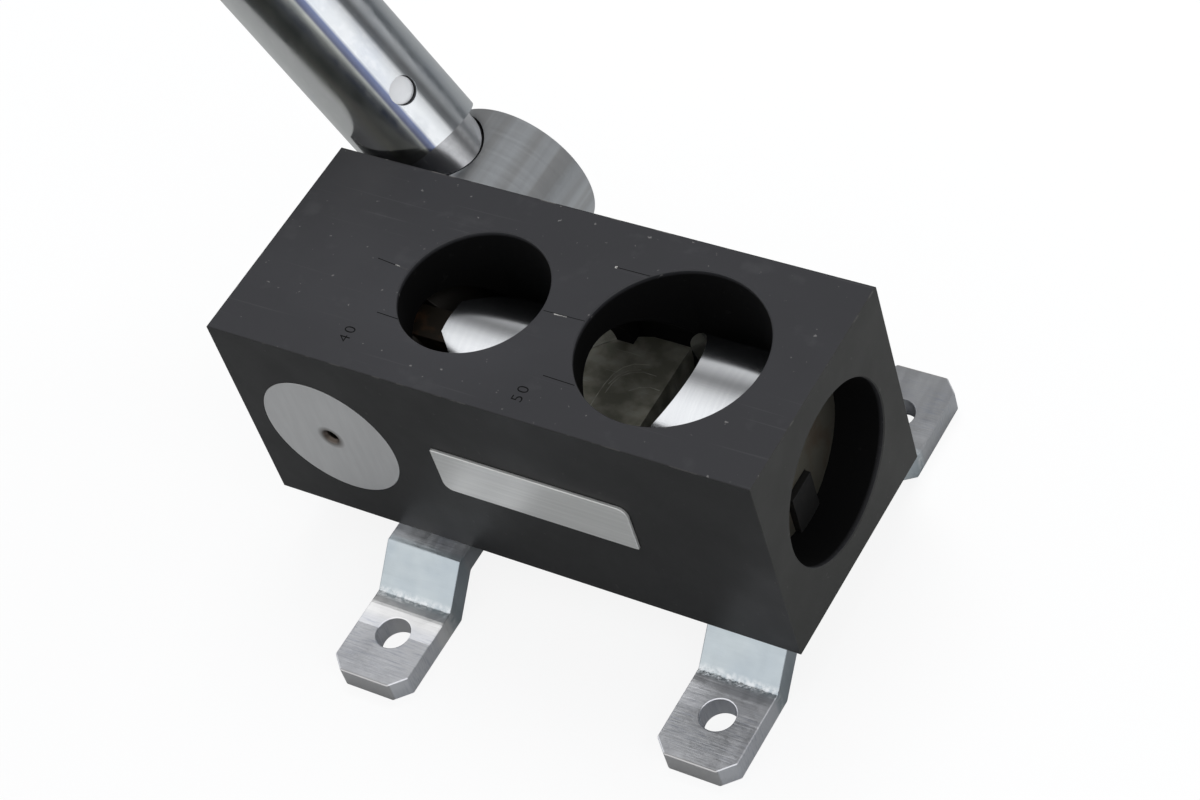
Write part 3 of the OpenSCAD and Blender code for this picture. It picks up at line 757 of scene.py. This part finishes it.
# Each size gives the head's radius, height and break, the shank's radius and length, and the socket's radius
# and depth
strap_screw = (6.5, 5, 0.6, 4, 16, 3.9, 3)
key_screw = (4.5, 3, 0.4, 2.5, 9, 2.4, 1.8)
cutter_screw = (2.5, 2.98, 0.02, 2.4, 13, 1.25, 0.05)
strap_seats = [(x, y + side * 24, -8) for x, y in ((60.2, 30), (174.2, 40)) for side in (-1, 1)]
key_seats = [(x, bore_y, 3) for x in (159, 173)]
cutter_seats = [(109.4, bore_y + side * 10, 37) for side in (-1, 1)]
upright, upside_down = 0.0, math.pi
set_screws("strap_screws", strap_seats, strap_screw, upright)
set_screws("key_screws", key_seats, key_screw, upright)
set_screws("cutter_screws", cutter_seats, cutter_screw, upside_down)
for node in ("plug_screw", "hub_screw", "bar_screw"):
    dress(softened(node, node + "_turned", 0.25 * MM), screw_black)
dress(softened("end_plug", "end_plug_turned", 0.4 * MM), block_black)

# Badge
# A thin silver plate stuck on the front and left bare. Its face is brushed along its length, and its rim is
# slightly darker.
badge_low, badge_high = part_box("badge_plate")
silver = Finish("badge_silver", (0.70, 0.70, 0.68), 0.32, 0.55)
silver.tint(silver.grain((30, 30, 900), 0.35, 0.7), (0.86, 0.86, 0.84), 0.5)
badge_rim = silver.edges(badge_low - Vector((0, 1, 0)), badge_high + Vector((0, 1, 0)), 0.8 * MM)
silver.tint(badge_rim, (0.16, 0.16, 0.165), 0.8)
dress(softened("badge_plate", "badge_bare", 0.35 * MM, 3), silver.done())

# Ram
# A stepped bar of ground steel, bright and smooth, with faint rings from grinding. Its pocket carries the
# cutter, its left end the yoke, and a keyway in its underside keeps it from turning.
thin_ram, wide_ram, ram_start, ram_step, ram_end = 24.4, 29.2, 62.6, 109, 177
pocket_x, pocket_radius, pocket_floor, nose_half = 120.5, 30, 30, 6.45
keyway_left, keyway_roof, key_play = 125, 27.5, 0.2
# Where shade is painted on the pocket floor past the cutter's edge.
floor_shade_left, floor_shade_right, floor_shade_low, floor_shade_high = 126, 151, 22, 33
cut_wide, cut_high = 60 * MM, 80 * MM
ground = Finish("ram_ground", (0.84, 0.86, 0.89), 0.17, 1.0)
grinding_rings = ground.grain((900, 20, 20), 0.4, 0.7)
ground.tint(grinding_rings, (0.92, 0.94, 0.96), 0.5)
ground.roughen(ground.grain((25, 25, 25), 0.35, 0.7), 0.06)
end_stain = ground.band(0, at(ram_end - 0.4, 0, 0).x, at(ram_end + 3, 0, 0).x, 0.3 * MM)
ground.tint(end_stain, (0.17, 0.16, 0.125), 0.95)
ground.roughen(end_stain, 0.4)
rusty_end = ground.times(end_stain, ground.grain((90, 90, 90), 0.5, 0.7))
ground.tint(rusty_end, (0.16, 0.11, 0.075), 0.7)
# Painted shade: the pocket floor past the cutter's edge, and the ram's sides at that height, are made near
# black and rough.
pocket_floor_shade = ground.times(ground.band(2, at(0, 0, floor_shade_low).z, at(0, 0, floor_shade_high).z, 2 * MM),
                    ground.band(0, at(floor_shade_left, 0, 0).x, at(floor_shade_right, 0, 0).x, 0.4 * MM))
ground.tint(pocket_floor_shade, (0.015, 0.014, 0.012), 0.95)
ground.roughen(pocket_floor_shade, 0.4)


def ram_round(name, start):
    """The ram's stepped round from a start to its right end, not yet cut."""
    profile = [(0, start), (thin_ram, start), (thin_ram, ram_step), (wide_ram, ram_step), (wide_ram, ram_end),
               (0, ram_end)]
    return turned(name, profile, bore_line, fine_steps)


ram_bar = ram_round("ram_bar", ram_start)
pocket_line = along("Z", at(pocket_x, bore_y, pocket_floor))
pocket = rod("pocket", pocket_radius, 0, 50, pocket_line, fine_steps)
step_cut = squared("step_cut", at(ram_step - past, 0, pocket_floor), at(pocket_x, bar_side, bar_side))
keyway = squared("keyway", at(keyway_left, key_front - key_play, 0),
                 at(ram_end + past, key_back + key_play, keyway_roof))
nose_tools = []
for side in (-1, 1):
    corner = at(ram_start, bore_y + side * nose_half, 0)
    flank = squared("flank", (-cut_wide, min(side, 0) * cut_wide, 0), (0, max(side, 0) * cut_wide, cut_high))
    flank.data.transform(Matrix.Translation(corner) @ Matrix.Rotation(math.radians(-45 * side), 4, "Z"))
    nose_tools.append(flank)
ram_bar = carved(ram_bar, pocket, step_cut, keyway, *nose_tools)
dress(finished(ram_bar, "ram", 0.2 * MM), ground.done())

# Cutter
# A hardened half-moon with an olive brown temper colour, screwed to the pocket's floor. Pipe ends have
# scratched bright arcs into it.
temper = Finish("cutter_temper", (0.17, 0.165, 0.13), 0.5, 0.5)
worn_patches = temper.grain((130, 160, 130), 0.4, 0.66)
fine_scratches = temper.grain((60, 1400, 60), 0.66, 0.74, 2.0)
temper.tint(worn_patches, (0.40, 0.39, 0.33), 0.7)
temper.tint(fine_scratches, (0.5, 0.49, 0.44), 0.6)
cutter_radius, cutter_thick, cutter_edge = 29.9, 10, 127.4
moon = rod("cutter_moon", cutter_radius, 0, cutter_thick, pocket_line, fine_steps)
edge_cut = squared("edge_cut", at(cutter_edge, 0, pocket_floor - past), at(ram_end, bar_side, bar_side))
moon = carved(moon, edge_cut)
moon = carved(moon, ram_round("ram_round", ram_start), operation="INTERSECT")
dress(finished(moon, "cutter", 0.25 * MM), temper.done())
cut = Finish("cutter_scratch", (0.5, 0.49, 0.42), 0.4, 0.6)
cut.tint(cut.grain((300, 300, 300), 0.4, 0.6), (0.2, 0.19, 0.15), 0.7)
cut_bright = cut.done()
arcs = (((108.3, 37), (108.1, 42), (108.2, 47), (108.9, 51.5), (110.6, 55), (113.4, 57.3), (118.4, 58.6)),
        ((110.2, 44), (110.4, 48), (111.6, 51.6), (114.2, 54), (118, 55.3), (122.5, 55.2)),
        ((109.4, 47.5), (110.4, 51.2), (112.8, 54.2), (116.6, 56)),
        ((117, 47.2), (119.6, 49.4), (123, 50.6), (126.4, 50.4)))
scratch_height = pocket_floor + cutter_thick + 0.02
for place, arc in enumerate(arcs):
    scratch = ribbon("cutter_scratch_" + str(place), arc, 0.3, scratch_height)
    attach(dress(scratch, cut_bright), "ram")

# Yoke
# The slotted piece let into the ram's left end, which the crank pin pushes, brown with old grease and rust.
# The ram's key and the hub's key are black with oil.
rust = Finish("yoke_rust", (0.016, 0.012, 0.008), 0.6, 0.2)
rust.tint(rust.grain((150, 150, 150), 0.48, 0.66), (0.075, 0.036, 0.016), 0.8)
dress(softened("yoke", "yoke_fork", 0.4 * MM), rust.done())
key_black = Finish("key_black", (0.006, 0.006, 0.006), 0.6)
key_black.tint(key_black.grain((200, 200, 200), 0.5, 0.7), (0.02, 0.018, 0.015), 0.6)
key_oiled = key_black.done()
for node in ("ram_key", "hub_key"):
    dress(softened(node, node + "_bar", 0.3 * MM), key_oiled)

# Shaft
# Ground journals with a crank pin between them, lying across the block. The front end is flush with the
# block's face and its centre hole has rusted; inside the block it is all painted near black brown as shade.
journal = Finish("shaft_ground", (0.67, 0.67, 0.67), 0.36, 0.8)
journal.tint(journal.grain((420, 420, 60), 0.38, 0.68), (0.76, 0.76, 0.76), 0.4)
journal.roughen(journal.grain((50, 50, 50), 0.35, 0.7), 0.1)
centre_hole = at(shaft_x, 0, shaft_z)
from_centre = journal.tree.nodes.new("ShaderNodeVectorMath")
from_centre.operation = "DISTANCE"
from_centre.inputs[1].default_value = centre_hole
journal.tree.links.new(journal.place, from_centre.inputs[0])
spot = journal.tree.nodes.new("ShaderNodeMapRange")
spot.inputs["From Min"].default_value = 5.2 * MM
spot.inputs["From Max"].default_value = 2.8 * MM
journal.tree.links.new(from_centre.outputs["Value"], spot.inputs["Value"])
journal.tint(spot.outputs[0], (0.07, 0.05, 0.036), 0.95)
# Painted shade: all of the shaft inside the block is made near black brown.
inside_block_shade = journal.band(1, block_low.y + 1.5 * MM, block_low.y + 79 * MM, MM)
journal.tint(inside_block_shade, (0.012, 0.009, 0.006), 0.97)
shaft_steel = journal.done()
journal_radius, journal_long, centre_radius, centre_deep, centre_rim = 25, 33.5, 2, 4, 1.2
end_profile = [(0, centre_deep), (centre_radius, centre_deep), (centre_radius, centre_rim),
               (centre_radius + centre_rim, 0), (journal_radius, 0), (journal_radius, journal_long),
               (0, journal_long)]
front_end = turned("crank_front_ground", end_profile, along("Y", centre_hole), 160)
dress(finished(front_end, "crank_front", 0.3 * MM), shaft_steel)
for node in ("crank_rear", "crank_pin", "yoke_dowels"):
    dress(softened(node, node + "_ground", 0.3 * MM), shaft_steel)

# Hub
# Turned from bright bar with a soft satin and faint streaks along its axis, bored across for the socket bar.
# It sits on the shaft's rear end against a bronze washer, and a steel washer and a screw hold it there.
satin = Finish("hub_turned", (0.52, 0.53, 0.54), 0.3, 1.0)
light_streaks = satin.grain((190, 5, 190), 0.42, 0.68, 2.0)
dark_streaks = satin.grain((120, 4, 120), 0.5, 0.72, 2.0)
satin.tint(light_streaks, (0.74, 0.78, 0.82), 0.7)
satin.tint(dark_streaks, (0.40, 0.41, 0.43), 0.5)
satin.roughen(satin.grain((60, 900, 60), 0.35, 0.7), 0.06)
hub_steel = satin.done()
hub_front, hub_radius, hub_long, hub_hole, seat_radius, bar_low = 81.1, 28.5, 39, 15, 16.85, 16.5
seat_top, screw_hole, screw_hole_low, screw_hole_high = 45, 4, -30, -14
lever_y, lever_lean = 100.6, -29
lever_turn = Matrix.Rotation(math.radians(lever_lean), 4, "Y")
lever_place = Matrix.Translation(at(shaft_x, lever_y, shaft_z)) @ lever_turn
hub_line = along("Y", at(shaft_x, hub_front, shaft_z))
hub = rod("hub_turned", hub_radius, 0, hub_long, hub_line, fine_steps)
hub_bore = rod("hub_bore", hub_hole, -past, hub_long + 2 * past, hub_line, 128)
bar_seat = rod("bar_seat", seat_radius, bar_low, seat_top, lever_place)
screw_seat = rod("screw_seat", screw_hole, screw_hole_low, screw_hole_high, lever_place, 64)
dress(finished(carved(hub, hub_bore, bar_seat, screw_seat), "hub", 0.5 * MM, 3), hub_steel)
dress(softened("hub_washer", "hub_washer_turned", 0.35 * MM, 3), hub_steel)
bronze = Finish("thrust_bronze", (0.32, 0.2, 0.08), 0.35, 1.0)
bronze.tint(bronze.grain((90, 90, 90)), (0.42, 0.29, 0.13), 0.7)
dress(softened("thrust_washer", "thrust_ring", 0.15 * MM), bronze.done())

# Lever
# A zinc plated steel tube slipped over the socket bar and pinned, its near end mitred clear of the hub. Its
# plate has bluish patches, and long dull, blue and bright bands are painted around it from its right side as
# reflections and highlights.
tube_radius, tube_wall, tube_near, tube_far, tube_mitre, mitre_turn = 19.3, 3, 33.5, 560, -9, -45
pin_height, pin_turn, pin_radius, pin_hole_radius, pin_sink = 57.5, -17.7, 4.7, 4.8, 2.6
bar_radius, bar_top, reflection_turn, tube_uncut, bore_past, pin_hole_reach = 16.25, 118, 58.16, 14, 20, 30
tube = Finish("tube_zinc", (0.86, 0.89, 0.92), 0.13, 1.0)
bluish_patches = tube.grain((60, 60, 24), 0.48, 0.68)
pale_flecks = tube.grain((420, 420, 300), 0.5, 0.7)
tube.tint(bluish_patches, (0.70, 0.75, 0.84), 0.5)
tube.tint(pale_flecks, (0.95, 0.97, 1.0), 0.5)
tube.roughen(tube.grain((200, 200, 80), 0.35, 0.7), 0.10)


def tube_vector(operation, first, second=None, output="Vector"):
    """A vector sum in the tube's finish."""
    node = tube.tree.nodes.new("ShaderNodeVectorMath")
    node.operation = operation
    tube.tree.links.new(first, node.inputs[0])
    if second is not None:
        node.inputs[1].default_value = second
    return node.outputs[output]


lever_way = lever_turn.to_3x3() @ Vector((0, 0, 1))
around = math.radians(reflection_turn)
right_side = lever_turn.to_3x3() @ Vector((math.cos(around), math.sin(around), 0))
from_axis = tube_vector("SUBTRACT", tube.place, lever_place.translation)
facing = math_node(tube.tree, "MULTIPLY_ADD", tube_vector("DOT_PRODUCT", from_axis, right_side, "Value"),
                   0.5 / (tube_radius * MM))
facing.node.inputs[2].default_value = 0.5
# Painted reflections and highlights: light, dark and blue bands set by the angle around the tube from its
# right side.
painted_reflections = tube.tree.nodes.new("ShaderNodeValToRGB")
painted_reflections.color_ramp.elements.remove(painted_reflections.color_ramp.elements[1])
for place, color in ((0.0, (0.90, 0.88, 0.84)), (0.14, (0.82, 0.80, 0.76)), (0.22, (0.50, 0.48, 0.40)),
                     (0.27, (0.26, 0.26, 0.22)), (0.40, (0.24, 0.24, 0.21)), (0.435, (0.50, 0.50, 0.44)),
                     (0.455, (0.07, 0.08, 0.17)), (0.50, (0.16, 0.20, 0.36)), (0.525, (1.0, 1.0, 1.0)),
                     (0.69, (1.0, 1.0, 1.0)), (0.72, (0.36, 0.37, 0.38)), (0.80, (0.60, 0.61, 0.62)),
                     (1.0, (0.62, 0.63, 0.63))):
    stop = painted_reflections.color_ramp.elements[0] if place == 0.0 else painted_reflections.color_ramp.elements.new(place)
    stop.color = (*color, 1)
tube.tree.links.new(facing, painted_reflections.inputs["Fac"])
with_reflections_painted = tube.tree.nodes.new("ShaderNodeMix")
with_reflections_painted.data_type = "RGBA"
with_reflections_painted.blend_type = "MULTIPLY"
with_reflections_painted.inputs["Factor"].default_value = 0.9
tube.tree.links.new(tube.color, with_reflections_painted.inputs["A"])
tube.tree.links.new(painted_reflections.outputs["Color"], with_reflections_painted.inputs["B"])
tube.color = with_reflections_painted.outputs["Result"]
from_way = tube_vector("CROSS_PRODUCT", from_axis, lever_way)
within = tube.tree.nodes.new("ShaderNodeMapRange")
within.inputs["From Min"].default_value = 18.95 * MM
within.inputs["From Max"].default_value = 18.6 * MM
tube.tree.links.new(tube_vector("LENGTH", from_way, output="Value"), within.inputs["Value"])
tube.tint(within.outputs[0], (0.03, 0.03, 0.032), 0.97)
tube.roughen(within.outputs[0], 0.4)
tube_zinc = tube.done()


def up_lever(height, turn):
    """The lever's own place at a height up it in millimetres, turned about it by an angle in degrees."""
    turned_by = Matrix.Rotation(math.radians(turn), 4, "Z")
    return lever_place @ Matrix.Translation((0, 0, height * MM)) @ turned_by


pin_place = up_lever(pin_height, pin_turn) @ Matrix.Rotation(math.radians(90), 4, "Y")
mitre_place = up_lever(tube_near, mitre_turn) @ Matrix.Rotation(math.radians(tube_mitre), 4, "Y")
pipe = rod("lever_tube_plated", tube_radius, tube_uncut, tube_far, lever_place, fine_steps)
pipe_bore = rod("pipe_bore", tube_radius - tube_wall, 0, tube_far + bore_past, lever_place)
mitre_cut = squared("mitre_cut", (-cut_wide, -cut_wide, -cut_high), (cut_wide, cut_wide, 0), mitre_place)
pin_hole = rod("pin_hole", pin_hole_radius, -pin_hole_reach, pin_hole_reach, pin_place, 64)
pipe = carved(pipe, pipe_bore, mitre_cut, pin_hole)
dress(finished(pipe, "lever_tube", 0.35 * MM, 3), tube_zinc)
pin_zinc = Finish("pin_zinc", (0.97, 0.98, 1.0), 0.25, 0.35)
pin_zinc.tint(pin_zinc.grain((300, 300, 300), 0.45, 0.65), (0.92, 0.94, 0.96), 0.6)
pin = rod("cross_pin_plated", pin_radius, pin_sink - tube_radius, tube_radius - pin_sink, pin_place, 64)
dress(finished(pin, "cross_pin", 0.25 * MM), pin_zinc.done())
bar_steel = Finish("bar_ground", (0.50, 0.51, 0.53), 0.2, 1.0)
bar_steel.tint(bar_steel.grain((500, 500, 500), 0.4, 0.66), (0.62, 0.63, 0.65), 0.5)
bar = rod("socket_bar_ground", bar_radius, bar_low, bar_top, lever_place)
dress(finished(bar, "socket_bar", 0.5 * MM), bar_steel.done())
cap = Finish("cap_black", (0.02, 0.02, 0.021), 0.5)
cap.roughen(cap.grain((300, 300, 300)), 0.15)
cap.raise_by(cap.grain((900, 900, 900)), 0.05)
dress(softened("tube_cap", "tube_cap_moulded", 0.5 * MM, 3), cap.done())
